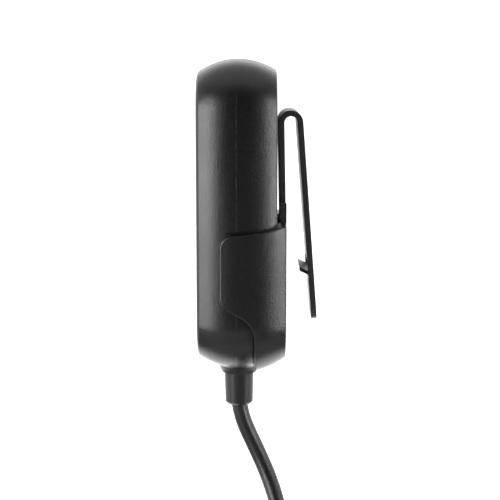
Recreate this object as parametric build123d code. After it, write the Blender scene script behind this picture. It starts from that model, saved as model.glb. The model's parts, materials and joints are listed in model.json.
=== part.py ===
from build123d import *
import os
from math import atan2, cos, degrees, pi, radians, sin, sqrt, tan

# Clip-on lavalier microphone, in millimetres, +Z up.
# X is its width, -Y its front face, +Y the side of the clothing clip.
# The origin lies between the jaws of the clip, where they grip the cloth.

os.makedirs("parts", exist_ok=True)

# ---------------------------------------------------------------- housing
BODY_W = 34.0                  # width of the two shells
Z_TOP, Z_BOTTOM = 41.15, -19.2  # top and bottom of the shells
Y_FRONT, Y_BACK = -18.85, -3.43
Y_SEAM = -11.3                 # parting plane of the two shells
CROWN_FRONT, CROWN_BACK = 2.55, 2.2   # how far the side wall curves in at front and back
ARCH = 1.6                     # rise of the arched top and bottom edges
CORNER_R = 9.5                 # corner radius in the front view
EDGE_FRONT_R, EDGE_BACK_R = 1.2, 0.5  # rounding of the front and back edges
WALL = 1.7
SEAM_BEVEL_W, SEAM_BEVEL_D = 0.2, 0.045   # bevel on the rear shell's edge at the seam

Y_MID = (Y_FRONT + Y_BACK) / 2
HALF_DEPTH = (Y_BACK - Y_FRONT) / 2
IN_FRONT = Y_FRONT + WALL      # inner face of the front wall
IN_BACK = Y_BACK - WALL        # inner face of the back wall

# ------------------------------------------------------- saddle over the clip
SADDLE_T = 0.95                # how proud it stands of the sides and bottom
SADDLE_CROWN = 1.9             # how far its side wall curves in towards the back
Y_SADDLE = -1.65               # its back face
SADDLE_TOP = 9.9               # height of its top edge at the back
SADDLE_FRONT = -14.3           # how far forward it reaches on the sides
SADDLE_EDGE_R = 0.6            # rounding round its back face
SADDLE_RIM_R = 0.3             # rounding of its outline on the sides
CHEEK_TOP = 13.75              # the two cheeks beside the clip leg
CHEEK_T = 1.5
CHEEK_FRONT = -2.72            # they stand clear of the rear shell
CHEEK_DRAFT = 0.3              # how much thinner they are at the back
GAP = 0.03                     # assembly gap between pieces that are screwed together

# ---------------------------------------------------------------- spring clip
CLIP_W = 15.0
CLIP_T = 1.12
BEND = (-0.7, 28.9)            # centre of the U bend (Y, Z)
BEND_R = 1.825                 # radius of the bend at mid thickness
LEG_TILT = 1.1                 # degrees
ARM_TILT = 4.25                # degrees
ARM_END_Z = -9.6
LEG_FOOT_Z = -4.5
LEG_FOOT_Y = -3.05             # mid thickness of the leg behind the saddle
JOG_TOP_Z, JOG_FOOT_Z = 9.6, 7.2
CLIP_PEG_R = 2.0
CLIP_PEG_Z = 2.0
TOOTH_W = 12.0
TOOTH_TIP_Y = 1.15             # how far in the tooth reaches
TOOTH_ROOT_Y = 3.3             # inside the arm
TOOTH_TIP_Z0, TOOTH_TIP_Z1 = -0.14, 0.62
TOOTH_ROOT_Z0, TOOTH_ROOT_Z1 = -1.05, -0.36
WINDOW_Z0, WINDOW_Z1 = -0.3, 2.2   # the opening that the tooth is lanced from
HINGE = (BEND[0], BEND[1] + BEND_R + CLIP_T / 2)   # flexing line of the clip (Y, Z)
RELIEF_DEG = 4.2               # bevel that lets the arm close a little

# ------------------------------------------------------------- cable exit
EXIT_Y = -10.8                 # axis of the collar and the strain relief
COLLAR_R, COLLAR_END_R = 3.85, 3.5
COLLAR_Z, COLLAR_END_Z = -20.75, -21.5
RELIEF_R, RELIEF_END_R = 2.98, 2.82
RELIEF_END_Z = -28.1
NECK_R = 2.2
FLANGE_R = 3.6

# ------------------------------------------------------------ microphone
MIC_Z = 31.0
GRILLE_R = 7.6
GRILLE_T = 0.6
FOAM_T = 1.0
CAN_R, CAN_L, CAN_T = 4.85, 4.6, 0.25
BOOT_R = 6.3
Y_CAN = IN_FRONT + 0.35        # front face of the capsule

# ------------------------------------------------ circuit board and button
BOARD_Y0, BOARD_T = -9.7, 1.0
BOARD_X = 12.0
BOARD_Z0, BOARD_Z1 = -11.0, 22.5
BUTTON_Z = 5.0
BUTTON_R = 5.4
BUTTON_PROUD = 0.2
SWITCH_W, SWITCH_H = 6.0, 3.5
PLUNGER_R = 1.7
LIGHT_Z = 16.0

SCREW_X = 11.6
SCREW_TOP_Z, SCREW_LOW_Z = 24.5, -11.0
SCREW_R, SCREW_HEAD_R, SCREW_HEAD_H = 1.0, 1.9, 1.2
BOSS_R = 2.6

# ------------------------------------------------------------------ cord
CORD_D = 3.3
COIL_R = 17.3                  # radius at the middle of the turns
COIL_Y, COIL_Z = -6.6, -84.0
COIL_STEP = 3.42               # spacing of neighbouring turns
COIL_DEPTH = 3 * COIL_STEP + CORD_D + 0.2
COIL_BAND = 2 * COIL_STEP + CORD_D + 0.2
ENTRY_X = COIL_R + COIL_STEP / 2
ENTRY_Y = COIL_Y + 1.5 * COIL_STEP
LEAVE_X = COIL_R + COIL_STEP
LEAVE_Y = COIL_Y - 1.5 * COIL_STEP

LEAD_ROUTE = [
    (0.0, -10.87, -27.4),
    (0.0, -10.5, -29.8),
    (0.1, -9.5, -32.9),
    (0.5, -7.3, -37.5),
    (1.8, -5.05, -42.3),
    (4.2, -3.15, -47.4),
    (7.6, -1.95, -53.0),
    (11.7, -1.4, -59.2),
    (15.8, -1.35, -66.0),
    (18.4, -1.45, -73.0),
    (ENTRY_X, ENTRY_Y, -79.5),
]
TAIL_ROUTE = [
    (LEAVE_X, LEAVE_Y, -88.0),
    (20.2, -11.2, -94.5),
    (18.6, -10.7, -102.5),
    (16.1, -9.9, -110.5),
    (13.9, -9.1, -118.5),
    (13.2, -8.8, -124.5),
    (13.2, -8.8, -129.0),
]

# ------------------------------------------------------------- jack plug
PLUG_X, PLUG_Y, PLUG_Z = TAIL_ROUTE[-1]
PLUG_BOOT_L, PLUG_HANDLE_L = 9.0, 17.0
PLUG_HANDLE_R = 4.1
JACK_R, JACK_NECK_R = 1.75, 1.5
PLUG_FACE_Z = PLUG_Z - PLUG_BOOT_L - PLUG_HANDLE_L


# ------------------------------------------------------------ small helpers
def block(x0, x1, y0, y1, z0, z1):
    centre = ((x0 + x1) / 2, (y0 + y1) / 2, (z0 + z1) / 2)
    return Pos(*centre) * Box(x1 - x0, y1 - y0, z1 - z0)


def rod(x, z, y0, y1, radius):
    """A round bar along Y."""
    return Pos(x, (y0 + y1) / 2, z) * Rot(90, 0, 0) * Cylinder(radius, y1 - y0)


def ring(x, z, y0, y1, outer, inner):
    return rod(x, z, y0, y1, outer) - rod(x, z, y0 - 1, y1 + 1, inner)


def post(x, y, z0, z1, radius):
    """A round bar along Z."""
    return Pos(x, y, (z0 + z1) / 2) * Cylinder(radius, z1 - z0)


def side_prism(points, radii, half_width):
    """A prism along X from an outline in (Y, Z), its corners rounded where radii says."""
    outline = Plane.YZ * make_face(Polyline(*points, close=True))
    solid = extrude(outline, half_width, both=True)
    for corner, radius in radii:
        edges = solid.edges().filter_by(Axis.X)
        chosen = edges.sort_by_distance((0, *corner))[0]
        solid = fillet(chosen, radius)
    return solid


def turned(profile, x, y, z=0.0):
    """A body of revolution about a vertical axis from points (radius, Z)."""
    face = Plane.XZ * make_face(Polyline(*profile, close=True))
    return Pos(x, y, z) * revolve(face, Axis.Z)


def tube(points, radius, fillets):
    path = FilletPolyline(*points, radius=fillets)
    start = Plane(origin=path @ 0, z_dir=path % 0)
    return sweep(start * Circle(radius), path=path), path


def main_solid(shape):
    """The largest solid of a cut shape."""
    return shape.solids().sort_by(SortBy.VOLUME)[-1]


def group(*shapes):
    """Several separate pieces kept in one node."""
    solids = []
    for shape in shapes:
        solids += shape.solids()
    return Compound(children=solids)


# ------------------------------------------------------------ pebble body
def front_outline(inset):
    """The rounded front view, shrunk by inset on every side."""
    w = BODY_W / 2 - inset
    top = Z_TOP - inset
    low = Z_BOTTOM + inset
    edges = [
        Line((-w, low + ARCH), (-w, top - ARCH)),
        ThreePointArc((-w, top - ARCH), (0, top), (w, top - ARCH)),
        Line((w, top - ARCH), (w, low + ARCH)),
        ThreePointArc((w, low + ARCH), (0, low), (-w, low + ARCH)),
    ]
    face = make_face(edges)
    return fillet(face.vertices(), CORNER_R - inset)


def pebble(inset, y0, y1, rounded=False, crown_back=CROWN_BACK):
    """The housing's outer shape, offset inwards, between two planes across Y."""
    sections = []
    for y in (y0, Y_MID, y1):
        depth = CROWN_FRONT if y < Y_MID else crown_back
        crown = depth * ((y - Y_MID) / HALF_DEPTH) ** 2
        plane = Plane(origin=(0, y, 0), x_dir=(1, 0, 0), z_dir=(0, -1, 0))
        sections.append(plane * front_outline(inset + crown))
    body = loft(sections)
    if rounded:
        body = fillet(body.edges().filter_by_position(Axis.Y, y0 - 0.01, y0 + 0.01), EDGE_FRONT_R)
        body = fillet(body.edges().filter_by_position(Axis.Y, y1 - 0.01, y1 + 0.01), EDGE_BACK_R)
    return body


def front_half(y=Y_SEAM):
    return block(-40, 40, -60, y, -60, 80)


def rear_half(y=Y_SEAM):
    return block(-40, 40, y, 60, -60, 80)


def collar(grow=0.0):
    """The flared ring under the housing that the strain relief sits in."""
    flare = [
        (5.6, -17.0),
        (5.45, -19.0),
        (4.75, -19.6),
        (4.3, -20.0),
        (COLLAR_R, COLLAR_Z),
        (COLLAR_END_R, COLLAR_END_Z),
    ]
    profile = [(0, -17.0)] + [(radius + grow, z) for radius, z in flare] + [(0, COLLAR_END_Z)]
    return turned(profile, 0, EXIT_Y)


def collar_bore():
    """The stepped hole of the strain relief: neck below, flange chamber above."""
    neck = post(0, EXIT_Y, COLLAR_END_Z - 1, -15.0, NECK_R + GAP)
    chamber = post(0, EXIT_Y, -19.2 - GAP, -17.8 + GAP, FLANGE_R + GAP)
    return neck + chamber


def case_screw_places():
    places = []
    for z in (SCREW_TOP_Z, SCREW_LOW_Z):
        for x in (-SCREW_X, SCREW_X):
            places.append((x, z))
    return places


def gasket_ring(width, y0, y1, inset):
    """A closed band that follows the seam."""
    plane = Plane(origin=(0, y1, 0), x_dir=(1, 0, 0), z_dir=(0, -1, 0))
    band = front_outline(inset) - front_outline(inset + width)
    return extrude(plane * band, y1 - y0)


def seam_bevel():
    """The fine bevel round the rear shell's edge along the parting line."""
    plane = Plane(origin=(0, Y_SEAM + SEAM_BEVEL_W, 0), x_dir=(1, 0, 0), z_dir=(0, -1, 0))
    slope = degrees(atan2(SEAM_BEVEL_D, SEAM_BEVEL_W))
    kept = extrude(plane * front_outline(0), SEAM_BEVEL_W, taper=slope)
    around = block(-40, 40, Y_SEAM, Y_SEAM + SEAM_BEVEL_W, -40, 60)
    return around - kept


def collar_seam():
    """The parting line where it runs down the collar."""
    slot = block(-8, 8, Y_SEAM - 0.07, Y_SEAM + 0.07, -22, -19.3)
    return slot & (collar(0.3) - collar(-0.15))


def saddle_shadow_groove(outer):
    """The narrow rebate in the shells just above the saddle's top edge."""
    band = [
        (0.0, 9.6),
        (0.0, 11.0),
        (-4.5, 10.0),
        (-8.0, 9.35),
        (-12.4, 8.85),
        (-13.3, 8.7),
        (-12.4, 8.5),
        (-10.8, 8.1),
        (-5.0, 9.0),
    ]
    prism = side_prism(band, [], 30)
    return prism & (outer - pebble(0.45, Y_FRONT + 1, Y_BACK - 0.45))


def shells():
    outer = pebble(0, Y_FRONT, Y_BACK, rounded=True)
    cavity = pebble(WALL, IN_FRONT, IN_BACK)
    bottom_pad = post(0, EXIT_Y, -19.0, -16.4, 5.2) & outer
    skin = outer - seam_bevel() - saddle_shadow_groove(outer)
    hollow = skin - cavity + bottom_pad + collar() - collar_bore() - collar_seam()

    front = hollow & front_half()
    rear = hollow & rear_half()
    for x, z in case_screw_places():
        front += rod(x, z, IN_FRONT - 0.3, Y_SEAM, BOSS_R)
        rear += rod(x, z, Y_SEAM, IN_BACK + 0.3, BOSS_R)
    for x, z in case_screw_places():
        front -= rod(x, z, IN_FRONT + 0.4, Y_SEAM + 1, SCREW_R)
        rear -= rod(x, z, Y_SEAM - 1, Y_BACK + 1, SCREW_R + 0.15)
    for x in (-SCREW_X, SCREW_X):
        rear -= rod(x, SCREW_TOP_Z, Y_BACK - SCREW_HEAD_H - 0.2, Y_BACK + 1, SCREW_HEAD_R + 0.15)

    groove = gasket_ring(0.74, Y_SEAM - 0.42, Y_SEAM + 0.42, 0.5)
    groove = main_solid(groove - post(0, EXIT_Y, -30, -14, 6.2))
    front -= groove
    rear -= groove

    front -= rod(0, MIC_Z, Y_FRONT - 1, Y_FRONT + GRILLE_T + 0.1, GRILLE_R + GAP)
    front -= rod(0, MIC_Z, Y_FRONT - 1, IN_FRONT + 1, GRILLE_R - 1.0)
    front -= rod(0, BUTTON_Z, Y_FRONT - 1, IN_FRONT + 1, BUTTON_R + 0.3)
    front -= rod(0, LIGHT_Z, Y_FRONT - 1, IN_FRONT + 1, 1.2 + GAP)
    front += ring(0, MIC_Z, IN_FRONT - 0.2, IN_FRONT + 5.2, BOOT_R + 1.0, BOOT_R + GAP)
    front += ring(0, BUTTON_Z, IN_FRONT - 0.2, IN_FRONT + 1.6, BUTTON_R + 2.2, BUTTON_R + 1.3)

    for x, z in board_screw_places():
        rear += rod(x, z, BOARD_Y0 + BOARD_T, IN_BACK + 0.3, 2.0)
        rear -= rod(x, z, BOARD_Y0, IN_BACK - 0.6, 0.8)
    rear -= leg_pocket()
    return front, rear


def leg_pocket():
    """Shallow recess in the back of the rear shell that the clip leg lies in."""
    depth = LEG_FOOT_Y - CLIP_T / 2 - GAP
    return block(-CLIP_W / 2 - 0.1, CLIP_W / 2 + 0.1, depth, 0, LEG_FOOT_Z - 0.3, JOG_TOP_Z + 0.5)


# ------------------------------------------------------------------ saddle
def on_saddle_outline(edge):
    """Whether an edge belongs to the outline that shows on the two sides."""
    middle = edge @ 0.5
    across = abs(edge.tangent_at(0.5).X) > 0.9
    return abs(middle.X) > 12 and middle.Y < Y_SADDLE - 1.0 and not across


def clip_cheek(side):
    """One of the two upstands that keep the clip leg from turning."""
    inner = side * (CLIP_W / 2 + 0.2)
    outer = inner + side * CHEEK_T
    back = Y_SADDLE + 0.12
    section = make_face(
        Polyline(
            (inner, CHEEK_FRONT),
            (outer, CHEEK_FRONT),
            (outer - side * CHEEK_DRAFT, back),
            (inner, back),
            close=True,
        )
    )
    cheek = extrude(Pos(0, 0, 5.5) * section, CHEEK_TOP - 5.5, dir=(0, 0, 1))
    top_back = cheek.edges().filter_by(Axis.X).group_by(Axis.Z)[-1].sort_by(Axis.Y)[-1]
    return fillet(top_back, 0.5)


def clip_saddle():
    """Cover screwed over the foot of the clip: back, both sides and bottom."""
    outer = pebble(-SADDLE_T, Y_FRONT, Y_SADDLE, crown_back=SADDLE_CROWN)
    rims = outer.edges().filter_by_position(Axis.Y, Y_SADDLE - 0.01, Y_SADDLE + 0.01)
    outer = fillet(rims, SADDLE_EDGE_R)
    profile = [
        (3.0, SADDLE_TOP + 1.0),
        (Y_SADDLE - 0.3, SADDLE_TOP - 0.1),
        (-6.2, 8.75),
        (SADDLE_FRONT, 7.95),
        (SADDLE_FRONT, -5.25),
        (-7.85, -8.8),
        (-7.65, -24.0),
        (3.0, -24.0),
    ]
    rounds = [
        ((-6.2, 8.75), 12.0),
        ((SADDLE_FRONT, 7.95), 2.3),
        ((SADDLE_FRONT, -5.25), 2.6),
        ((-7.85, -8.8), 5.2),
    ]
    solid = outer & side_prism(profile, rounds, 30)
    rim = [e for e in solid.edges() if on_saddle_outline(e)]
    solid = fillet(rim, SADDLE_RIM_R)
    for side in (-1, 1):
        solid += clip_cheek(side)
    solid -= pebble(-GAP, Y_FRONT, Y_BACK)
    solid -= collar(0.1)
    solid -= post(0, EXIT_Y, -26, -20, COLLAR_R + 0.1)
    leg_face = LEG_FOOT_Y + CLIP_T / 2 + GAP
    half = CLIP_W / 2 + 0.2
    solid -= block(-half, half, -6, leg_face, LEG_FOOT_Z - 0.3, JOG_FOOT_Z)
    solid -= block(-half, half, -6, 4, JOG_FOOT_Z - 1.2, 20)
    peg = rod(0, CLIP_PEG_Z, Y_BACK + GAP, Y_SADDLE - 0.4, CLIP_PEG_R)
    solid += peg
    for x in (-SCREW_X, SCREW_X):
        solid -= rod(x, SCREW_LOW_Z, Y_BACK - 1, 3, SCREW_R + 0.15)
        solid -= rod(x, SCREW_LOW_Z, Y_SADDLE - 0.95, 3, SCREW_HEAD_R + 0.15)
    return main_solid(solid)


# -------------------------------------------------------------- spring clip
def clip_strip():
    """The bent strip: foot, jog, leg, U bend and arm, as one steel strip."""
    a, b = radians(LEG_TILT), radians(ARM_TILT)
    bend_y, bend_z = BEND
    leg_top = (bend_y - BEND_R * cos(a), bend_z - BEND_R * sin(a))
    arm_top = (bend_y + BEND_R * cos(b), bend_z + BEND_R * sin(b))
    leg_run = (leg_top[1] - JOG_TOP_Z) / cos(a)
    jog_top = (leg_top[0] + leg_run * sin(a), JOG_TOP_Z)
    arm_run = (arm_top[1] - ARM_END_Z) / cos(b)
    arm_end = (arm_top[0] + arm_run * sin(b), ARM_END_Z)
    foot = (LEG_FOOT_Y, LEG_FOOT_Z)
    jog_foot = (LEG_FOOT_Y, JOG_FOOT_Z)
    line = FilletPolyline(foot, jog_foot, jog_top, leg_top, radius=[1.5, 1.5])
    bend = ThreePointArc(leg_top, (bend_y, bend_z + BEND_R), arm_top)
    arm = Line(arm_top, arm_end)
    strip = trace([*line.edges(), bend, arm], line_width=CLIP_T)
    solid = extrude(Plane.YZ * strip, CLIP_W / 2, both=True)
    lower = solid.edges().filter_by(lambda e: abs(e.length - CLIP_T) < 0.02)
    arm_tips = [e for e in lower if e.center().Z < ARM_END_Z + 0.3]
    leg_tips = [e for e in lower if abs(e.center().Z - LEG_FOOT_Z) < 0.3]
    solid = fillet(arm_tips, 2.0)
    places = [e.center() for e in leg_tips]
    corners = [e for e in solid.edges() if any((e.center() - p).length < 0.05 for p in places)]
    solid = fillet(corners, 1.0)
    return solid


def spring_clip():
    """The clip as two bodies that meet on its flexing line at the top of the bend."""
    strip = clip_strip()
    hinge_y, hinge_z = HINGE
    fixed = strip & block(-20, 20, -20, hinge_y, -60, 60)
    fixed -= rod(0, CLIP_PEG_Z, -8, 2, CLIP_PEG_R + 0.05)

    arm = strip & block(-20, 20, hinge_y, 20, -60, 60)
    drop = 2.0
    shift = drop * tan(radians(RELIEF_DEG))
    wedge = [
        (hinge_y - 0.2, hinge_z),
        (hinge_y, hinge_z),
        (hinge_y + shift, hinge_z - drop),
        (hinge_y - 0.2, hinge_z - drop),
    ]
    arm -= side_prism(wedge, [], 20)

    half = TOOTH_W / 2 + 0.2
    arm -= block(-half, half, 1.0, 6.0, WINDOW_Z0, WINDOW_Z1)
    arm += side_prism(
        [
            (TOOTH_ROOT_Y, TOOTH_ROOT_Z0),
            (TOOTH_TIP_Y, TOOTH_TIP_Z0),
            (TOOTH_TIP_Y, TOOTH_TIP_Z1),
            (TOOTH_ROOT_Y, TOOTH_ROOT_Z1),
        ],
        [],
        TOOTH_W / 2,
    )
    return main_solid(fixed), main_solid(arm)


# -------------------------------------------------------- screws and gasket
def pan_screw(x, z, y_tip, y_head, head_h=SCREW_HEAD_H, cross=True):
    """A cross-head screw along Y, its head towards +Y."""
    shank = rod(x, z, y_tip, y_head, SCREW_R - 0.02)
    shank += Pos(x, y_tip, z) * Rot(-90, 0, 0) * Pos(0, 0, -0.4) * Cone(0.3, SCREW_R - 0.02, 0.8)
    head = rod(x, z, y_head, y_head + head_h, SCREW_HEAD_R)
    head = fillet(head.edges().group_by(Axis.Y)[-1], 0.35)
    screw = shank + head
    if cross:
        top = y_head + head_h
        screw -= block(x - 1.15, x + 1.15, top - 0.6, top + 1, z - 0.25, z + 0.25)
        screw -= block(x - 0.25, x + 0.25, top - 0.6, top + 1, z - 1.15, z + 1.15)
    return screw


def case_screws(z, y_head, head_h):
    tip = IN_FRONT + 1.4
    return group(*[pan_screw(x, z, tip, y_head, head_h) for x in (-SCREW_X, SCREW_X)])


def seam_gasket():
    band = gasket_ring(0.68, Y_SEAM - 0.4, Y_SEAM + 0.4, 0.53)
    return main_solid(band - post(0, EXIT_Y, -30, -14, 6.3))


# --------------------------------------------------------------- microphone
def mic_grille():
    disc = rod(0, MIC_Z, Y_FRONT + 0.05, Y_FRONT + 0.05 + GRILLE_T, GRILLE_R)
    pitch = 1.7
    holes = None
    for row in range(-4, 5):
        z = row * pitch * sin(radians(60))
        for column in range(-5, 6):
            x = (column + (row % 2) / 2) * pitch
            if sqrt(x * x + z * z) < GRILLE_R - 1.6:
                hole = rod(x, MIC_Z + z, Y_FRONT - 1, Y_FRONT + 2, 0.5)
                holes = hole if holes is None else holes + hole
    return disc - holes


def microphone():
    """Screen, boot and the electret capsule's own pieces, front to back."""
    y = Y_CAN
    foam_y = Y_FRONT + 0.05 + GRILLE_T + 0.02
    back = y + CAN_L
    pieces = {
        "mic_grille": mic_grille(),
        "foam_windscreen": rod(0, MIC_Z, foam_y, foam_y + FOAM_T, BOOT_R - 0.05),
        "mic_boot": ring(0, MIC_Z, IN_FRONT + 0.05, back - 0.4, BOOT_R, CAN_R + 0.02),
    }
    can = rod(0, MIC_Z, y, back, CAN_R) - rod(0, MIC_Z, y + CAN_T, back + 1, CAN_R - CAN_T)
    for turn in range(6):
        x, z = 1.6 * cos(turn * pi / 3), 1.6 * sin(turn * pi / 3)
        can -= rod(x, MIC_Z + z, y - 1, y + 1, 0.35)
    pieces["capsule_can"] = can - rod(0, MIC_Z, y - 1, y + 1, 0.35)
    inner = CAN_R - CAN_T - 0.05
    pieces["capsule_felt"] = rod(0, MIC_Z, y - 0.3, y - 0.02, CAN_R - 0.6)
    layers = [
        ("diaphragm_ring", 0.5, 3.6),
        ("diaphragm_film", 0.06, 0.0),
        ("diaphragm_spacer", 0.12, 3.6),
        ("capsule_backplate", 0.6, 0.4),
        ("capsule_insulator", 1.6, 3.4),
        ("capsule_board", 0.8, 0.0),
    ]
    place = y + CAN_T + 0.02
    for name, thick, hole in layers:
        piece = rod(0, MIC_Z, place, place + thick, inner)
        if hole:
            piece -= rod(0, MIC_Z, place - 1, place + thick + 1, hole)
        pieces[name] = piece
        place += thick + 0.02
    return pieces


def lead(points, radius, bend=0.8):
    wire, _ = tube(points, radius, [bend] * (len(points) - 2))
    return wire


def capsule_leads():
    board_front = BOARD_Y0
    start = Y_CAN + CAN_L + 0.1
    wires = []
    for x in (-2.0, 2.0):
        turn_y = start + 1.0
        route = [
            (x, start, MIC_Z - 2),
            (x, turn_y, MIC_Z - 2),
            (x * 1.4, turn_y, 21.0),
            (x * 1.4, board_front - 0.02, 21.0),
        ]
        wires.append(lead(route, 0.35, 0.5))
    return group(*wires)


# ---------------------------------------------------------- circuit board
def board_screw_places():
    return [(-9.0, 12.0), (9.0, -4.0)]


def circuit_board():
    board = block(-BOARD_X, BOARD_X, BOARD_Y0, BOARD_Y0 + BOARD_T, BOARD_Z0, BOARD_Z1)
    board = fillet(board.edges().filter_by(Axis.Y), 1.5)
    for x, z in case_screw_places():
        board -= rod(x, z, BOARD_Y0 - 1, BOARD_Y0 + 2, BOSS_R + 0.4)
    for x, z in board_screw_places():
        board -= rod(x, z, BOARD_Y0 - 1, BOARD_Y0 + 2, 1.0)
    return main_solid(board)


def board_screws():
    screws = []
    for x, z in board_screw_places():
        head = rod(x, z, BOARD_Y0 - 0.8, BOARD_Y0, 1.6)
        head -= block(x - 1.0, x + 1.0, BOARD_Y0 - 1.2, BOARD_Y0 - 0.4, z - 0.2, z + 0.2)
        screws.append(head + rod(x, z, BOARD_Y0, IN_BACK - 1.2, 0.78))
    return group(*screws)


def mute_switch():
    """Push switch on the board: its body, and the plunger that slides in it."""
    y1 = BOARD_Y0 - 0.02
    y0 = y1 - SWITCH_H
    half = SWITCH_W / 2
    body = block(-half, half, y0, y1, BUTTON_Z - half, BUTTON_Z + half)
    body = fillet(body.edges().filter_by(Axis.Y), 0.4)
    body -= rod(0, BUTTON_Z, y0 - 1, y0 + 2.4, PLUNGER_R + 0.06)
    plunger = rod(0, BUTTON_Z, y0 - 1.0, y0 + 1.5, PLUNGER_R)
    dome = rod(0, BUTTON_Z, y0 + 2.2, y0 + 2.35, PLUNGER_R - 0.2)
    return body, plunger, dome


def mute_button():
    """Cap, hidden flange and stem; it rests on the plunger."""
    cap = rod(0, BUTTON_Z, Y_FRONT - BUTTON_PROUD, IN_FRONT + 0.1, BUTTON_R)
    cap = fillet(cap.edges().group_by(Axis.Y)[0], 0.5)
    dish = Pos(0, Y_FRONT - BUTTON_PROUD - 17.6, BUTTON_Z) * Sphere(18.0)
    flange = rod(0, BUTTON_Z, IN_FRONT + 0.1, IN_FRONT + 0.8, BUTTON_R + 0.9)
    stem_end = BOARD_Y0 - 0.02 - SWITCH_H - 1.0
    stem = rod(0, BUTTON_Z, IN_FRONT + 0.8, stem_end, 2.2)
    return (cap - dish) + flange + stem


def board_components():
    """Coupling capacitors, resistors and a regulator beside the chip."""
    y1 = BOARD_Y0 - 0.02
    parts = []
    for x, z, w, h, tall in [
        (-7.5, -1.0, 2.0, 1.25, 0.8),
        (-7.5, 1.5, 2.0, 1.25, 0.8),
        (-7.5, 4.0, 2.0, 1.25, 0.8),
        (7.0, 9.0, 2.9, 1.6, 1.1),
        (-3.5, 17.5, 3.2, 1.6, 1.6),
        (3.5, 17.5, 3.2, 1.6, 1.6),
    ]:
        part = block(x - w / 2, x + w / 2, y1 - tall, y1, z - h / 2, z + h / 2)
        parts.append(part)
    return group(*parts)


def preamp_chip():
    y1 = BOARD_Y0 - 0.02
    body = block(-2.0, 2.0, y1 - 1.5, y1 - 0.1, -5.6, -1.2)
    legs = None
    for k in range(4):
        z = -5.0 + k * 1.27 - 0.2
        leg = block(-3.0, 3.0, y1 - 0.45, y1, z, z + 0.4)
        legs = leg if legs is None else legs + leg
    return body + legs


def cable_header():
    y1 = BOARD_Y0 - 0.02
    body = block(-4.4, 4.4, y1 - 3.4, y1, -10.4, -7.2)
    for k in range(4):
        x = -3.3 + 2.2 * k
        body -= block(x - 0.7, x + 0.7, y1 - 2.8, y1 - 1.2, -11.0, -8.4)
    return body


def status_light():
    pipe = rod(0, LIGHT_Z, Y_FRONT - 0.05, IN_FRONT + 3.6, 1.2)
    pipe += rod(0, LIGHT_Z, IN_FRONT + 0.02, IN_FRONT + 0.8, 1.9)
    led = block(-0.8, 0.8, BOARD_Y0 - 0.82, BOARD_Y0 - 0.02, LIGHT_Z - 0.5, LIGHT_Z + 0.5)
    return pipe, led


# --------------------------------------------------------------- cord
def strain_relief():
    profile = [
        (0, RELIEF_END_Z),
        (RELIEF_END_R - 0.5, RELIEF_END_Z),
        (RELIEF_END_R, RELIEF_END_Z + 0.5),
        (RELIEF_R, COLLAR_END_Z - GAP),
        (NECK_R, COLLAR_END_Z - GAP),
        (NECK_R, -19.2),
        (FLANGE_R, -19.2),
        (FLANGE_R, -17.8),
        (NECK_R, -17.8),
        (NECK_R, -15.6),
        (0, -15.6),
    ]
    solid = turned(profile, 0, EXIT_Y)
    return solid - post(0, EXIT_Y, -40, 0, CORD_D / 2 + 0.01)


def cord_inner_end():
    """The end of the cable inside the strain relief, up to where it is stripped."""
    return post(0, EXIT_Y, RELIEF_END_Z, -14.4, CORD_D / 2)


def cord_anchor():
    """Crimped ring that stops the cable from being pulled out."""
    outer = post(0, EXIT_Y, -15.5, -14.4, 2.3)
    return outer - post(0, EXIT_Y, -17, -13, CORD_D / 2 + 0.01)


def core_wires():
    """Four insulated cores from the stripped cable to the header."""
    wires = []
    for k in range(4):
        x0 = -0.9 + 0.6 * k
        x1 = -3.3 + 2.2 * k
        y0 = EXIT_Y + (0.45 if k % 2 else -0.45)
        y1 = BOARD_Y0 - 2.0
        route = [(x0, y0, -14.38), (x0, y0, -13.2), (x1, y1, -11.6), (x1, y1, -8.6)]
        wires.append(lead(route, 0.3, 0.5))
    return group(*wires)


def arc_radii(points):
    """Each corner's radius, as large as its two runs allow."""
    radii = []
    for a, b, c in zip(points, points[1:], points[2:]):
        first, second = Vector(*b) - Vector(*a), Vector(*c) - Vector(*b)
        turn = first.get_angle(second)
        run = min(first.length, second.length)
        radii.append(0.45 * run / tan(radians(turn / 2)))
    return radii


def cord_stretch(name, points):
    radii = arc_radii(points)
    solid, path = tube(points, CORD_D / 2, radii)
    expected = pi * (CORD_D / 2) ** 2 * path.length
    print(f"{name}: length {path.length:.1f}, radii", " ".join(f"{r:.0f}" for r in radii))
    print(f"{name}: volume {solid.volume:.1f}, section times length {expected:.1f}")
    return solid


def cord_lead(coil):
    """The stretch from the strain relief's end face down to the coil."""
    above = block(-5, 5, -20, 0, RELIEF_END_Z, RELIEF_END_Z + 6)
    return main_solid(cord_stretch("cord_lead", LEAD_ROUTE) - above - coil)


def coil_section(grow=0.0):
    """The bundle's rounded section, standing in the XZ plane beside the coil's axis."""
    band, depth = COIL_BAND + 2 * grow, COIL_DEPTH + 2 * grow
    face = RectangleRounded(band, depth, 2.2 + grow)
    return Plane(origin=(COIL_R, COIL_Y, COIL_Z), x_dir=(1, 0, 0), z_dir=(0, 0, 1)) * face


def cord_coil():
    axis = Axis((0, COIL_Y, COIL_Z), (0, 1, 0))
    return revolve(coil_section(), axis)


def coil_tie():
    """Hook-and-loop strap around the turns, on the side away from the plug."""
    axis = Axis((0, COIL_Y, COIL_Z), (0, 1, 0))
    band = coil_section(0.9) - coil_section(0.02)
    strap = revolve(band, axis, 30)
    return strap.rotate(axis, 165)


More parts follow.
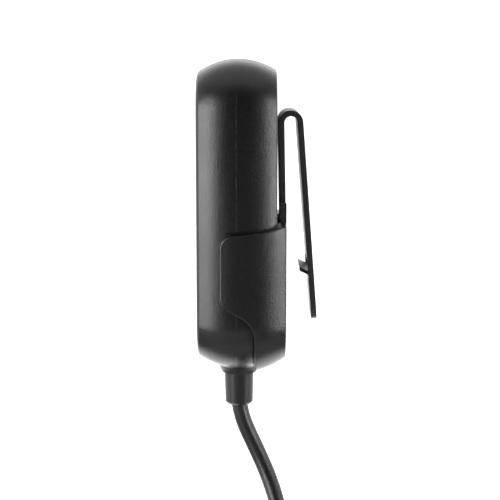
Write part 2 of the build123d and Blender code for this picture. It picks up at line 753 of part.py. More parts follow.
def jack_plug():
    """Straight 3.5 mm plug, hanging with its tip down."""
    x, y = PLUG_X, PLUG_Y
    top, shoulder, face = PLUG_Z, PLUG_Z - PLUG_BOOT_L, PLUG_FACE_Z
    boot = turned([(0, top), (2.3, top), (2.7, top - 0.6), (3.6, shoulder), (0, shoulder)], x, y)
    for k in range(3):
        z = top - 1.6 - 1.9 * k
        boot -= post(x, y, z - 0.8, z, 6) - post(x, y, z - 1, z + 1, 2.35 + 0.25 * k)
    r = PLUG_HANDLE_R
    handle_profile = [
        (0, shoulder),
        (r - 0.4, shoulder),
        (r, shoulder - 0.5),
        (r, face + 0.6),
        (r - 0.5, face),
        (0, face),
    ]
    handle = turned(handle_profile, x, y)
    handle -= post(x, y, face - 1, face + 3.0, JACK_NECK_R + 0.01)
    j, n = JACK_R, JACK_NECK_R
    sleeve_low = face - 6.0
    sleeve_profile = [
        (0, face + 2.9),
        (n, face + 2.9),
        (n, face - 0.3),
        (j, face - 0.3),
        (j, sleeve_low),
        (0, sleeve_low),
    ]
    sleeve = turned(sleeve_profile, x, y)
    collar_1 = turned([(0, face - 6.0), (j, face - 6.0), (j, face - 6.7), (0, face - 6.7)], x, y)
    ring_1 = turned([(0, face - 6.7), (j, face - 6.7), (j, face - 9.6), (0, face - 9.6)], x, y)
    collar_2 = turned([(0, face - 9.6), (j, face - 9.6), (j, face - 10.3), (0, face - 10.3)], x, y)
    tip_profile = [
        (0, face - 10.3),
        (j, face - 10.3),
        (1.1, face - 11.0),
        (j, face - 12.2),
        (1.5, face - 13.2),
        (0.5, face - 14.0),
        (0, face - 14.0),
    ]
    return {
        "plug_boot": boot,
        "plug_handle": handle,
        "plug_sleeve_contact": sleeve,
        "plug_ring_contact": ring_1,
        "plug_tip_contact": turned(tip_profile, x, y),
        "plug_insulators": group(collar_1, collar_2),
    }


# ------------------------------------------------------------------ assembly
def build():
    front, rear = shells()
    fixed_leg, spring_arm = spring_clip()
    switch_body, plunger, dome = mute_switch()
    pipe, led = status_light()
    coil = cord_coil()
    nodes = {
        "front_shell": main_solid(front),
        "rear_shell": main_solid(rear),
        "seam_gasket": seam_gasket(),
        "clip_saddle": clip_saddle(),
        "clip_fixed_leg": fixed_leg,
        "clip_spring_arm": spring_arm,
        "upper_case_screws": case_screws(SCREW_TOP_Z, Y_BACK - SCREW_HEAD_H - 0.15, SCREW_HEAD_H - 0.1),
        "lower_case_screws": case_screws(SCREW_LOW_Z, Y_SADDLE - 0.93, 0.8),
        "capsule_leads": capsule_leads(),
        "circuit_board": circuit_board(),
        "board_screws": board_screws(),
        "switch_body": switch_body,
        "switch_plunger": plunger,
        "switch_dome": dome,
        "mute_button": mute_button(),
        "preamp_chip": preamp_chip(),
        "board_components": board_components(),
        "cable_header": cable_header(),
        "light_pipe": pipe,
        "status_led": led,
        "strain_relief": strain_relief(),
        "cord_inner_end": cord_inner_end(),
        "cord_anchor": cord_anchor(),
        "core_wires": core_wires(),
        "cord_lead": cord_lead(coil),
        "cord_coil": coil,
        "cord_tail": main_solid(cord_stretch("cord_tail", TAIL_ROUTE) - coil),
        "coil_tie": coil_tie(),
    }
    nodes.update(microphone())
    nodes.update(jack_plug())
    return nodes


for name, solid in build().items():
    solid.label = name
    export_step(solid, f"parts/{name}.step")
    box = solid.bounding_box()
    corners = [box.min.X, box.min.Y, box.min.Z, box.max.X, box.max.Y, box.max.Z]
    print(f"{name:22s}", " ".join(f"{value:8.2f}" for value in corners))
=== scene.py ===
"""Looks of the clip-on microphone: camera, cord, clip, soft pieces, materials and light."""

import json
import math

import bmesh
import bpy
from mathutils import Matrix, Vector


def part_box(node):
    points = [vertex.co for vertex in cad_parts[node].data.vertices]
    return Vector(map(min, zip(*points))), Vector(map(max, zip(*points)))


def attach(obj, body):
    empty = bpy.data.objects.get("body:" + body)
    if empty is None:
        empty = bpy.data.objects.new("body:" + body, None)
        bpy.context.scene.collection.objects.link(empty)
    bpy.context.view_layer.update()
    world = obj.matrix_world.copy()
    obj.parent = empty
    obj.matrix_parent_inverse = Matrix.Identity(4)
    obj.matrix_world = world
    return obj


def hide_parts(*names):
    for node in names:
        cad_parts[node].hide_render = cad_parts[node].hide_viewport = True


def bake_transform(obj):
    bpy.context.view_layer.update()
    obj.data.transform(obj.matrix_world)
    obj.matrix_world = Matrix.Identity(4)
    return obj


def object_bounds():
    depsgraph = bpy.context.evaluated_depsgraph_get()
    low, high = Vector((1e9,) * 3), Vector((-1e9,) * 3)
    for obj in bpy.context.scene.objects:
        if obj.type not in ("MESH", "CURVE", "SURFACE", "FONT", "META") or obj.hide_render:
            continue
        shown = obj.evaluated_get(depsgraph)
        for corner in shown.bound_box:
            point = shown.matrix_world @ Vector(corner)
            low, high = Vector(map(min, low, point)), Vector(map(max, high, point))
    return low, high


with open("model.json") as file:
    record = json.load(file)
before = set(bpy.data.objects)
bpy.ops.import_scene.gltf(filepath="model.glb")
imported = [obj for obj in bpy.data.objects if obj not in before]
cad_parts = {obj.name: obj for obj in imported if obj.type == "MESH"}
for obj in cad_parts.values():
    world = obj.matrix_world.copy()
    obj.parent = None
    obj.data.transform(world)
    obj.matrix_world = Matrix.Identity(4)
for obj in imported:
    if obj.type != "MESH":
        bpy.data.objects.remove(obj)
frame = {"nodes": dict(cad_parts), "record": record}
cad_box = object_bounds()
MM = 0.001

# ------------------------------------------------------------------ camera
CAMERA_AIM = Vector((0.0, -8.6, 3.2)) * MM
CAMERA_DISTANCE = 280 * MM
CAMERA_ELEVATION = math.radians(8.0)
LENS_MM, SENSOR_MM = 100.8, 36.0


def new_object(name, data):
    obj = bpy.data.objects.new(name, data)
    bpy.context.scene.collection.objects.link(obj)
    return obj


def look_at(obj, target):
    direction = target - obj.location
    obj.rotation_euler = direction.to_track_quat("-Z", "Y").to_euler()


def add_camera():
    data = bpy.data.cameras.new("camera")
    data.lens = LENS_MM
    data.sensor_width = SENSOR_MM
    data.clip_start = 0.01
    camera = new_object("camera", data)
    away = Vector((math.cos(CAMERA_ELEVATION), 0, math.sin(CAMERA_ELEVATION)))
    camera.location = CAMERA_AIM + away * CAMERA_DISTANCE
    look_at(camera, CAMERA_AIM)
    bpy.context.scene.camera = camera


# ------------------------------------------------------------ mesh helpers
def circle(count):
    """Angles evenly round a circle."""
    return [2 * math.pi * j / count for j in range(count)]


def rounded_box(half_x, half_y, radius, steps):
    """The outline of a rectangle with round corners, each of that many steps."""
    points = []
    for x, y, start in ((1, 1, 0), (-1, 1, 90), (-1, -1, 180), (1, -1, 270)):
        for k in range(steps + 1):
            angle = math.radians(start + 90 * k / steps)
            points.append((
                x * (half_x - radius) + radius * math.cos(angle),
                y * (half_y - radius) + radius * math.sin(angle),
            ))
    return points


def mesh_object(name, verts, faces):
    mesh = bpy.data.meshes.new(name)
    mesh.from_pydata([tuple(v) for v in verts], [], faces)
    mesh.validate()
    bm = bmesh.new()
    bm.from_mesh(mesh)
    bmesh.ops.recalc_face_normals(bm, faces=bm.faces)
    bm.to_mesh(mesh)
    bm.free()
    mesh.shade_smooth()
    return new_object(name, mesh)


def swept(name, rings):
    """A closed skin over a row of rings, each a list of points."""
    size = len(rings[0])
    verts = [p for ring in rings for p in ring]
    faces = []
    for k in range(len(rings) - 1):
        for j in range(size):
            a, b = k * size + j, k * size + (j + 1) % size
            faces.append((a, b, b + size, a + size))
    faces.append(tuple(range(size)))
    faces.append(tuple(range(len(verts) - size, len(verts))))
    return mesh_object(name, verts, faces)


def prism(name, outline, half_width):
    """A prism along X from an outline in (Y, Z)."""
    rings = []
    for x in (-half_width, half_width):
        rings.append([Vector((x * MM, y * MM, z * MM)) for y, z in outline])
    return swept(name, rings)


def boolean(obj, cutter, operation):
    """Cut or join a shape for good, and delete the cutter."""
    modifier = obj.modifiers.new("cut", "BOOLEAN")
    modifier.operation = operation
    modifier.solver = "EXACT"
    modifier.object = cutter
    bpy.context.view_layer.update()
    depsgraph = bpy.context.evaluated_depsgraph_get()
    mesh = bpy.data.meshes.new_from_object(obj.evaluated_get(depsgraph))
    obj.modifiers.clear()
    obj.data = mesh
    bpy.data.objects.remove(cutter)


def smooth_by_angle(obj, limit):
    """Smooth shading, with edges sharper than the angle kept crisp."""
    mesh = obj.data
    mesh.shade_smooth()
    bm = bmesh.new()
    bm.from_mesh(mesh)
    for edge in bm.edges:
        if len(edge.link_faces) == 2 and edge.calc_face_angle(0) > limit:
            edge.smooth = False
    bm.to_mesh(mesh)
    bm.free()


# -------------------------------------------------------------------- cord
CORD_D = 3.3
COIL_R, COIL_Y, COIL_Z = 17.3, -6.6, -84.0
COIL_STEP = 3.42
POINTS_PER_TURN = 40
# Where each turn of the coil lies in the bundle: steps out from its middle, and across it.
COIL_SLOTS = [
    (0.5, 1.5),
    (-0.5, 1.5),
    (-1, 0.5),
    (0, 0.5),
    (1, 0.5),
    (1, -0.5),
    (0, -0.5),
    (-1, -0.5),
    (-1, -1.5),
    (0, -1.5),
    (1, -1.5),
]
# The free runs above and below the coil, as in the CAD.
LEAD_ROUTE = [
    (0.0, -10.87, -27.4),
    (0.0, -10.5, -29.8),
    (0.1, -9.5, -32.9),
    (0.5, -7.3, -37.5),
    (1.8, -5.05, -42.3),
    (4.2, -3.15, -47.4),
    (7.6, -1.95, -53.0),
    (11.7, -1.4, -59.2),
    (15.8, -1.35, -66.0),
    (18.4, -1.45, -73.0),
    (19.01, -1.47, -79.5),
]
TAIL_ROUTE = [
    (20.72, -11.73, -88.0),
    (20.2, -11.2, -94.5),
    (18.6, -10.7, -102.5),
    (16.1, -9.9, -110.5),
    (13.9, -9.1, -118.5),
    (13.2, -8.8, -124.5),
    (13.2, -8.8, -129.0),
]


def on_coil(out, across, angle):
    """A point of the bundle, in mm: outwards and across from its middle line, at an angle."""
    radius = COIL_R + out
    return (radius * math.cos(angle), COIL_Y + across, COIL_Z + radius * math.sin(angle))


def coil_points():
    """The turns, each one moving on to the next place in the bundle as it goes round."""
    step = 2 * math.pi / POINTS_PER_TURN
    # The spline runs a little inside its points, so they stand a little further out.
    pull_in = 0.75 + 0.25 * math.cos(step)
    points = []
    turns = len(COIL_SLOTS) - 1
    for k in range(turns * POINTS_PER_TURN + 1):
        turn, part = divmod(k / POINTS_PER_TURN, 1.0)
        here = COIL_SLOTS[int(turn)]
        there = COIL_SLOTS[min(int(turn) + 1, turns)]
        out = (here[0] + (there[0] - here[0]) * part) * COIL_STEP
        across = (here[1] + (there[1] - here[1]) * part) * COIL_STEP
        points.append(on_coil((COIL_R + out) / pull_in - COIL_R, across, -k * step))
    return points


def make_cord():
    route = LEAD_ROUTE + coil_points() + TAIL_ROUTE
    curve = bpy.data.curves.new("cord", "CURVE")
    curve.dimensions = "3D"
    # Blender pads a curve's box by its points' radius, so the radius carries the cord's size.
    curve.bevel_depth = 1.0
    curve.bevel_resolution = 8
    curve.resolution_u = 4
    curve.use_fill_caps = True
    spline = curve.splines.new("NURBS")
    spline.points.add(len(route) - 1)
    for point, place in zip(spline.points, route):
        point.co = (*[c * MM for c in place], 1.0)
        point.radius = CORD_D / 2 * MM
    spline.order_u = 3
    spline.use_endpoint_u = True
    return new_object("cord", curve)


# -------------------------------------------------------------------- clip
CLIP_W, CLIP_T = 15.0, 1.12
CLIP_EDGE_R = 0.08
BEND_Y, BEND_Z, BEND_R = -0.7, 28.9, 1.825
LEG_TILT, ARM_TILT = math.radians(1.1), math.radians(4.25)
ARM_END_Z, LEG_FOOT_Z, LEG_FOOT_Y = -9.6, -4.5, -3.05
JOG_TOP_Z, JOG_FOOT_Z, JOG_R = 9.6, 7.2, 1.5
FOOT_CORNER_R, TIP_CORNER_R = 1.0, 2.0
PEG_Z, PEG_R = 2.0, 2.05
PEG_HOLE_Y = (-6.0, -1.0)
TOOTH_W = 12.0
TOOTH = [(3.3, -1.05), (1.15, -0.14), (1.15, 0.62), (3.3, -0.36)]
WINDOW = [(1.0, -0.3), (6.0, -0.3), (6.0, 2.2), (1.0, 2.2)]
WINDOW_GAP = 0.2
CREASE_ANGLE = math.radians(30)

# How finely the strip is divided: along it, round its bend, jogs and edges.
END_STEP, LEG_STEP, LEAST_STEP = 0.4, 1.0, 0.02
BEND_STEPS, JOG_STEPS, EDGE_STEPS = 48, 8, 4
PEG_SIDES = 40
FIRST_RING_IN = 0.05


def fillet_arc(a, b, c, radius):
    """The points of a round corner at b between the lines a-b and b-c, in a plane."""
    u = (a - b).normalized()
    v = (c - b).normalized()
    half = math.acos(max(-1, min(1, u.dot(v)))) / 2
    reach = radius / math.tan(half)
    centre = b + (u + v).normalized() * (radius / math.sin(half))
    spoke, last = b + u * reach - centre, b + v * reach - centre
    sweep = spoke.angle_signed(last)
    points = []
    for k in range(JOG_STEPS + 1):
        cos, sin = math.cos(-sweep * k / JOG_STEPS), math.sin(-sweep * k / JOG_STEPS)
        turned = Vector((spoke.x * cos - spoke.y * sin, spoke.x * sin + spoke.y * cos))
        points.append(centre + turned)
    return points


def straight(a, b, spacing):
    count = max(1, int((b - a).length / spacing))
    return [a.lerp(b, k / count) for k in range(count + 1)]


def on_bend(angle):
    return Vector((BEND_Y + BEND_R * math.cos(angle), BEND_Z + BEND_R * math.sin(angle)))


def clip_line():
    """The clip's middle line in (Y, Z), from the foot of the leg to the end of the arm."""
    leg_angle = math.pi + LEG_TILT
    leg_top, arm_top = on_bend(leg_angle), on_bend(ARM_TILT)
    jog_top = leg_top + Vector((math.tan(LEG_TILT), -1)) * (leg_top.y - JOG_TOP_Z)
    arm_end = arm_top + Vector((math.tan(ARM_TILT), -1)) * (arm_top.y - ARM_END_Z)
    foot, jog_foot = Vector((LEG_FOOT_Y, LEG_FOOT_Z)), Vector((LEG_FOOT_Y, JOG_FOOT_Z))
    low = fillet_arc(foot, jog_foot, jog_top, JOG_R)
    high = fillet_arc(jog_foot, jog_top, leg_top, JOG_R)
    line = straight(foot, low[0], END_STEP) + low + high
    line += straight(high[-1], leg_top, LEG_STEP)
    for k in range(1, BEND_STEPS):
        line.append(on_bend(leg_angle - (leg_angle - ARM_TILT) * k / BEND_STEPS))
    line += straight(arm_top, arm_end, END_STEP)
    clean = [line[0]]
    for point in line[1:]:
        if (point - clean[-1]).length > LEAST_STEP:
            clean.append(point)
    return clean


def strip_ring(centre, normal, half_width):
    """A section across the strip: X is its width, normal its thickness."""
    ring = []
    for x, n in rounded_box(half_width, CLIP_T / 2, CLIP_EDGE_R, EDGE_STEPS):
        y, z = centre.x + normal.x * n, centre.y + normal.y * n
        ring.append(Vector((x * MM, y * MM, z * MM)))
    return ring


def end_inset(distance, radius):
    """How much narrower the strip is at that distance from a rounded end."""
    if distance >= radius:
        return 0.0
    return radius - math.sqrt(max(0.0, radius * radius - (radius - distance) ** 2))


def make_clip():
    """The bent strip with rounded ends, its window, the hole for the peg and the tooth."""
    line = clip_line()
    lengths = [0.0]
    for a, b in zip(line, line[1:]):
        lengths.append(lengths[-1] + (b - a).length)
    rings = []
    for k, point in enumerate(line):
        before, after = line[max(k - 1, 0)], line[min(k + 1, len(line) - 1)]
        along = (after - before).normalized()
        normal = Vector((-along.y, along.x))
        from_foot = lengths[k] + FIRST_RING_IN
        from_tip = lengths[-1] - lengths[k] + FIRST_RING_IN
        inset = max(end_inset(from_foot, FOOT_CORNER_R), end_inset(from_tip, TIP_CORNER_R))
        rings.append(strip_ring(point, normal, CLIP_W / 2 - inset))
    clip = swept("spring_clip", rings)

    boolean(clip, prism("window", WINDOW, TOOTH_W / 2 + WINDOW_GAP), "DIFFERENCE")
    hole_rings = []
    for y in PEG_HOLE_Y:
        hole_rings.append([
            Vector((PEG_R * MM * math.cos(a), y * MM, (PEG_Z + PEG_R * math.sin(a)) * MM))
            for a in circle(PEG_SIDES)
        ])
    boolean(clip, swept("peg_hole", hole_rings), "DIFFERENCE")
    boolean(clip, prism("tooth", TOOTH, TOOTH_W / 2), "UNION")
    smooth_by_angle(clip, CREASE_ANGLE)
    return clip


# ------------------------------------------------------------- soft pieces
STRAP_GAP, STRAP_T, LAP_GAP, LAP_T = 0.06, 0.36, 0.04, 0.38
STRAP_CENTRE, STRAP_HALF = math.radians(180), math.radians(13.5)
STRAP_STEPS = 14
LAP_FROM, LAP_TO = 2, 20
BUNDLE_SLACK, BUNDLE_CORNER_R, BUNDLE_CORNER_STEPS = 0.1, 2.2, 15
FOAM_FIT = 0.985
FOAM_SIDES, FOAM_ROWS, FOAM_BACK_ROWS = 96, 26, 4


def bundle_outline(grow):
    """The rounded section of the wound turns, as (outwards, across) points."""
    margin = CORD_D / 2 + BUNDLE_SLACK + grow
    return rounded_box(
        COIL_STEP + margin, 1.5 * COIL_STEP + margin, BUNDLE_CORNER_R + grow, BUNDLE_CORNER_STEPS
    )


def strap_layer(verts, faces, inner, outer):
    """A thick band between two outlines, carried a little way along the coil."""
    base, count = len(verts), len(inner)
    for k in range(STRAP_STEPS + 1):
        angle = STRAP_CENTRE - STRAP_HALF + 2 * STRAP_HALF * k / STRAP_STEPS
        for place in inner + outer:
            verts.append(Vector(on_coil(*place, angle)) * MM)
    row = 2 * count
    for k in range(STRAP_STEPS):
        for j in range(count - 1):
            a = base + k * row + j
            b = a + count
            faces.append((a, a + 1, a + 1 + row, a + row))
            faces.append((b, b + row, b + row + 1, b + 1))
        for j in (0, count - 1):
            a = base + k * row + j
            b = a + count
            faces.append((a, a + row, b + row, b))
    for k in (0, STRAP_STEPS):
        for j in range(count - 1):
            a = base + k * row + j
            faces.append((a, a + count, a + count + 1, a + 1))


def make_tie():
    """Hook-and-loop strap round the turns, with its end lapped over its start."""
    strap_top = STRAP_GAP + STRAP_T
    lap_base = strap_top + LAP_GAP
    inner, outer = bundle_outline(STRAP_GAP), bundle_outline(strap_top)
    lap_in, lap_out = bundle_outline(lap_base), bundle_outline(lap_base + LAP_T)
    verts, faces = [], []
    strap_layer(verts, faces, inner + inner[:1], outer + outer[:1])
    strap_layer(verts, faces, lap_in[LAP_FROM:LAP_TO], lap_out[LAP_FROM:LAP_TO])
    return mesh_object("coil_strap", verts, faces)


def foam_dip(x, z):
    """From 0 to 1, how deep the foam's uneven face lies at a place."""
    ripple = math.sin(x * 7100 + 2 * math.sin(z * 5300))
    return 0.5 + 0.5 * ripple * math.sin(z * 6700 + x * 900)


def make_foam(node, name, bumps):
    """A disc of open-cell foam with a fine, uneven front face."""
    low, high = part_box(node)
    centre = (Vector(low) + Vector(high)) / 2
    radius = (high[0] - low[0]) / 2 * FOAM_FIT
    half = (high[1] - low[1]) / 2
    profile = [(radius * k / FOAM_ROWS, -half) for k in range(1, FOAM_ROWS + 1)]
    profile += [(radius * k / FOAM_BACK_ROWS, half) for k in range(FOAM_BACK_ROWS, 0, -1)]
    rings = []
    for r, y in profile:
        ring = []
        for angle in circle(FOAM_SIDES):
            x, z = r * math.cos(angle), r * math.sin(angle)
            dip = bumps * foam_dip(x, z) if y < 0 else 0.0
            ring.append(Vector((centre.x + x, centre.y + y + dip, centre.z + z)))
        rings.append(ring)
    return swept(name, rings)


# --------------------------------------------------------------- materials
# Nearly all of a noise texture's values lie between these two.
NOISE_LOW, NOISE_HIGH = 0.3, 0.7


class Shader:
    """A material with its Principled shader and a few helpers for its nodes."""

    def __init__(self, name, **values):
        self.material = bpy.data.materials.new(name)
        self.material.use_nodes = True
        self.tree = self.material.node_tree
        self.bsdf = self.tree.nodes["Principled BSDF"]
        self.place = self.tree.nodes.new("ShaderNodeTexCoord").outputs["Object"]
        for socket, value in values.items():
            self.bsdf.inputs[socket.replace("_", " ")].default_value = value

    def node(self, kind, **values):
        node = self.tree.nodes.new("ShaderNode" + kind)
        for key, value in values.items():
            node.inputs[key.replace("_", " ")].default_value = value
        return node

    def link(self, output, target):
        self.tree.links.new(output, target)

    def noise(self, scale, detail, stretch=(1, 1, 1)):
        """Noise with that many cells a metre, and more along a stretched axis."""
        mapping = self.node("Mapping", Scale=stretch)
        noise = self.node("TexNoise", Scale=scale, Detail=detail)
        self.link(self.place, mapping.inputs["Vector"])
        self.link(mapping.outputs["Vector"], noise.inputs["Vector"])
        return noise.outputs["Fac"]

    def tint(self, value, dark, light):
        """Base colour between two colours."""
        ramp = self.node("ValToRGB")
        low, high = ramp.color_ramp.elements
        low.position, high.position = NOISE_LOW, NOISE_HIGH
        low.color, high.color = (*dark, 1), (*light, 1)
        self.link(value, ramp.inputs["Fac"])
        self.link(ramp.outputs["Color"], self.bsdf.inputs["Base Color"])

    def rough(self, value, low, high):
        """Roughness between two numbers."""
        node = self.node(
            "MapRange", From_Min=NOISE_LOW, From_Max=NOISE_HIGH, To_Min=low, To_Max=high
        )
        self.link(value, node.inputs["Value"])
        self.link(node.outputs["Result"], self.bsdf.inputs["Roughness"])

    def bump(self, value, height, strength, under=None):
        """Relief of that height in mm, on top of an earlier one if given."""
        node = self.node("Bump", Strength=strength, Distance=height * MM)
        self.link(value, node.inputs["Height"])
        if under:
            self.link(under, node.inputs["Normal"])
        self.link(node.outputs["Normal"], self.bsdf.inputs["Normal"])
        return node.outputs["Normal"]


def grey(value):
    return (value, value, value)


def moulded_plastic(name, level, grain):
    """Spark-eroded black plastic: fine pits, slightly uneven sheen."""
    m = Shader(name, Specular_IOR_Level=0.5)
    m.tint(m.noise(1400, 3), grey(level * 0.85), grey(level * 1.2))
    m.rough(m.noise(90, 4), 0.30, 0.35)
    coarse = m.bump(m.noise(2800, 2), grain * 0.6, 0.65)
    m.bump(m.noise(5200, 3), grain * 0.8, 0.75, coarse)
    return m.material


def coated_steel(name, level):
    """Spring steel with a thin black coating: faint draw lines, worn a little."""
    m = Shader(name, Specular_IOR_Level=0.55)
    lines = m.noise(900, 3, (14, 1, 0.6))
    m.tint(m.noise(2400, 3), grey(level * 0.9), grey(level * 1.15))
    m.rough(lines, 0.34, 0.46)
    m.bump(lines, 0.006, 0.7)
    return m.material


def cord_jacket(name):
    """Smooth black jacket: glossy, with the faint waves of extrusion."""
    m = Shader(name, Specular_IOR_Level=0.55)
    m.tint(m.noise(300, 3), grey(0.005), grey(0.008))
    m.rough(m.noise(1200, 2), 0.36, 0.44)
    m.bump(m.noise(420, 2), 0.010, 0.5)
    return m.material


def soft_rubber(name, level, low, high):
    """Matt black rubber with a fine bloom."""
    m = Shader(name, Specular_IOR_Level=0.45)
    m.tint(m.noise(800, 3), grey(level * 0.8), grey(level * 1.2))
    m.rough(m.noise(160, 3), low, high)
    m.bump(m.noise(3600, 3), 0.006, 0.7)
    return m.material


def bare_metal(name, colour, low, high, lines=(1, 1, 1)):
    """Turned, drawn or rolled metal, with its tool lines along one axis."""
    m = Shader(name, Metallic=1.0)
    m.tint(m.noise(600, 3), tuple(c * 0.86 for c in colour), colour)
    fine = m.noise(1500, 3, lines)
    m.rough(fine, low, high)
    m.bump(fine, 0.003, 0.6)
    return m.material


def dark_metal(name, level):
    """Blackened steel, a little patchy."""
    m = Shader(name, Metallic=0.6)
    m.tint(m.noise(900, 3), grey(level * 0.7), grey(level * 1.8))
    m.rough(m.noise(1600, 3), 0.3, 0.42)
    m.bump(m.noise(2600, 2), 0.004, 0.6)
    return m.material


def foam(name):
    """Open cells: painted shade darkens the pits between paler walls."""
    m = Shader(name, Roughness=0.95, Sheen_Weight=0.3)
    cells = m.node("TexVoronoi", Scale=2600.0)
    m.link(m.place, cells.inputs["Vector"])
    # painted shade: the cell pattern is darker where its distance is large, standing for shade in
    # the pits
    m.tint(cells.outputs["Distance"], grey(0.03), grey(0.006))
    m.bump(cells.outputs["Distance"], 0.1, 0.9)
    return m.material


def strap_fabric(name):
    """Brushed loop side of a hook-and-loop strap."""
    m = Shader(name, Roughness=0.9, Sheen_Weight=0.5)
    weave = m.noise(3000, 4, (1, 1, 3))
    m.tint(weave, grey(0.012), grey(0.04))
    m.bump(weave, 0.08, 0.8)
    return m.material


def plain_plastic(name, colour, low, high):
    """Smooth plastic for the parts inside."""
    m = Shader(name)
    m.tint(m.noise(500, 3), tuple(c * 0.8 for c in colour), colour)
    m.rough(m.noise(900, 3), low, high)
    m.bump(m.noise(2400, 3), 0.004, 0.6)
    return m.material


def clear_plastic(name):
    """Milky, half-clear plastic of the light pipe."""
    m = Shader(name, Transmission_Weight=0.25, IOR=1.49)
    m.tint(m.noise(400, 2), (0.3, 0.32, 0.34), (0.4, 0.42, 0.44))
    m.rough(m.noise(900, 2), 0.3, 0.4)
    m.bump(m.noise(700, 2), 0.002, 0.4)
    return m.material


# Each of the record's slots: how its material is made, and with what values.
SLOTS = {
    "housing_plastic": (moulded_plastic, 0.006, 0.045),
    "button_rubber": (soft_rubber, 0.012, 0.42, 0.5),
    "clip_steel": (coated_steel, 0.028),
    "screw_steel": (dark_metal, 0.03),
    "seal_rubber": (soft_rubber, 0.009, 0.36, 0.44),
    "grille_steel": (dark_metal, 0.04),
    "foam": (foam,),
    "capsule_metal": (bare_metal, (0.72, 0.72, 0.73), 0.25, 0.38),
    "film": (bare_metal, (0.75, 0.73, 0.66), 0.12, 0.2),
    "insulator_plastic": (plain_plastic, (0.72, 0.69, 0.6), 0.4, 0.52),
    "brass": (bare_metal, (0.72, 0.56, 0.28), 0.22, 0.35),
    "board_laminate": (plain_plastic, (0.03, 0.16, 0.08), 0.25, 0.35),
    "component_black": (plain_plastic, grey(0.03), 0.5, 0.6),
    "clear_plastic": (clear_plastic,),
    "cord_jacket": (cord_jacket,),
    "wire_insulation": (plain_plastic, (0.5, 0.06, 0.05), 0.3, 0.4),
    "tie_fabric": (strap_fabric,),
    "plug_plastic": (moulded_plastic, 0.022, 0.008),
    "contact_plate": (bare_metal, (0.78, 0.76, 0.72), 0.16, 0.28, (1, 1, 20)),
}


def paint(obj, material):
    obj.data.materials.clear()
    obj.data.materials.append(material)


# ---------------------------------------------------------- stage and light
FLOOR_GAP = 0.004
ROOM_R, ROOM_HOLE = 1.6, 0.002
ROOM_SIDES, BOWL_STEPS, DOME_STEPS = 64, 24, 12
BOWL_HEIGHT, DOME_HEIGHT = 0.9, 0.8
PAPER_GREY = 0.9
WORLD_LEVEL = 0.01

# Upright lights: name, degrees round from the camera, distance, width, low edge, high edge, level.
UPRIGHT_LIGHTS = (
    ("softbox_left", -55, 0.6, 0.24, -0.14, 0.20, 11.5),
    ("softbox_left_top", -55, 0.6, 0.20, 0.20, 0.38, 5.0),
    ("softbox_right", 61, 0.6, 0.10, -0.14, 0.20, 20.0),
    ("softbox_right_top", 61, 0.6, 0.10, 0.20, 0.38, 8.0),
    ("paper_left", -112, 0.5, 0.70, -0.3, 0.5, 1.6),
    ("paper_right", 112, 0.5, 0.70, -0.3, 0.5, 1.6),
    ("paper_back", 180, 0.5, 0.7, -0.3, 0.5, 1.6),
    ("low_fill", -8, 0.6, 0.9, -0.42, -0.22, 1.0),
)
# Flat lights: name, place and target from the middle of the object, width, depth, level.
FLAT_LIGHTS = (
    ("table_bounce", (-0.45, 0, -0.45), (0, 0, 0), 1.0, 1.0, 2.6),
    ("table_front", (0.27, 0, -0.45), (0.27, 0, 0), 0.4, 1.4, 0.7),
    ("ceiling_glow", (-0.1, 0, 0.6), (0, 0, 0), 1.0, 1.0, 0.9),
)


def area_light(name, place, target, width, height, level):
    """A rectangle of light; level is how bright its face is, 1 being paper white."""
    data = bpy.data.lights.new(name, "AREA")
    data.shape = "RECTANGLE"
    data.size = width
    data.size_y = height
    data.energy = level * math.pi * width * height
    lamp = new_object(name, data)
    lamp.visible_camera = False
    lamp.location = place
    look_at(lamp, target)


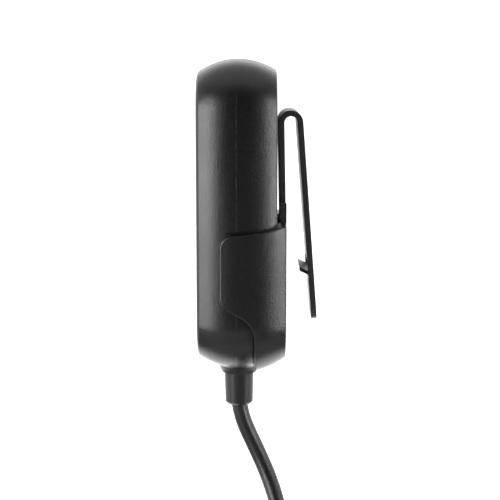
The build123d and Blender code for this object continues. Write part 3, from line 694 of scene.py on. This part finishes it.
def make_stage(floor_z):
    """A white paper room: a floor that curves up into a dome. It casts no light or shadow."""
    world = bpy.data.worlds.new("studio")
    world.use_nodes = True
    background = world.node_tree.nodes["Background"]
    background.inputs["Color"].default_value = (1, 1, 1, 1)
    background.inputs["Strength"].default_value = WORLD_LEVEL
    bpy.context.scene.world = world

    paper = Shader("paper", Base_Color=(*grey(PAPER_GREY), 1), Roughness=0.9)
    paper.bsdf.inputs["Emission Color"].default_value = (1, 1, 1, 1)
    paper.bsdf.inputs["Emission Strength"].default_value = 1.0

    def ring(r, z):
        return [Vector((r * math.cos(a), r * math.sin(a), z)) for a in circle(ROOM_SIDES)]

    rings = []
    for k in range(BOWL_STEPS + 1):
        angle = math.pi / 2 * k / BOWL_STEPS
        z = floor_z + ROOM_R * BOWL_HEIGHT * (1 - math.cos(angle))
        rings.append(ring(max(ROOM_R * math.sin(angle), ROOM_HOLE), z))
    for k in range(1, DOME_STEPS + 1):
        angle = math.pi / 2 * k / DOME_STEPS
        z = floor_z + ROOM_R * (BOWL_HEIGHT + DOME_HEIGHT * math.sin(angle))
        rings.append(ring(ROOM_R * max(math.cos(angle), ROOM_HOLE), z))
    room = swept("paper_room", rings)
    room.data.materials.append(paper.material)
    room.visible_glossy = False
    room.visible_diffuse = False
    room.visible_shadow = False


def make_lights(middle):
    """Two tall softboxes, and the white room: paper behind and beside, table, ceiling."""
    for name, turn, away, width, z0, z1, level in UPRIGHT_LIGHTS:
        angle = math.radians(turn)
        place = middle + Vector((math.cos(angle), math.sin(angle), 0)) * away
        place.z = (z0 + z1) / 2
        target = middle if name == "low_fill" else Vector((middle.x, middle.y, place.z))
        area_light(name, place, target, width, z1 - z0, level)
    for name, offset, aim, width, depth, level in FLAT_LIGHTS:
        area_light(name, middle + Vector(offset), middle + Vector(aim), width, depth, level)


# ---------------------------------------------------------------- assembly
add_camera()

cord = make_cord()
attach(cord, "housing")
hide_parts("cord_lead", "cord_coil", "cord_tail")

tie = make_tie()
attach(tie, "housing")
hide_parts("coil_tie")

clip = make_clip()
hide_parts("clip_fixed_leg", "clip_spring_arm")

windscreen = make_foam("foam_windscreen", "windscreen_foam", 0.00012)
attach(windscreen, "housing")
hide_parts("foam_windscreen")

felt = make_foam("capsule_felt", "capsule_felt_pad", 0.00005)
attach(felt, "housing")
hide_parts("capsule_felt")

materials = {slot: make(slot, *values) for slot, (make, *values) in SLOTS.items()}
slot_of = {s["node"]: s["material_slot"] for s in frame["record"]["subparts"]}
for node, obj in frame["nodes"].items():
    paint(obj, materials[slot_of[node]])
paint(cord, materials["cord_jacket"])
paint(tie, materials["tie_fabric"])
paint(clip, materials["clip_steel"])
paint(windscreen, materials["foam"])
paint(felt, materials["foam"])

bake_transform(clip)

make_stage(cad_box[0][2] - FLOOR_GAP)
make_lights(CAMERA_AIM)
bpy.context.scene.view_settings.view_transform = "Standard"
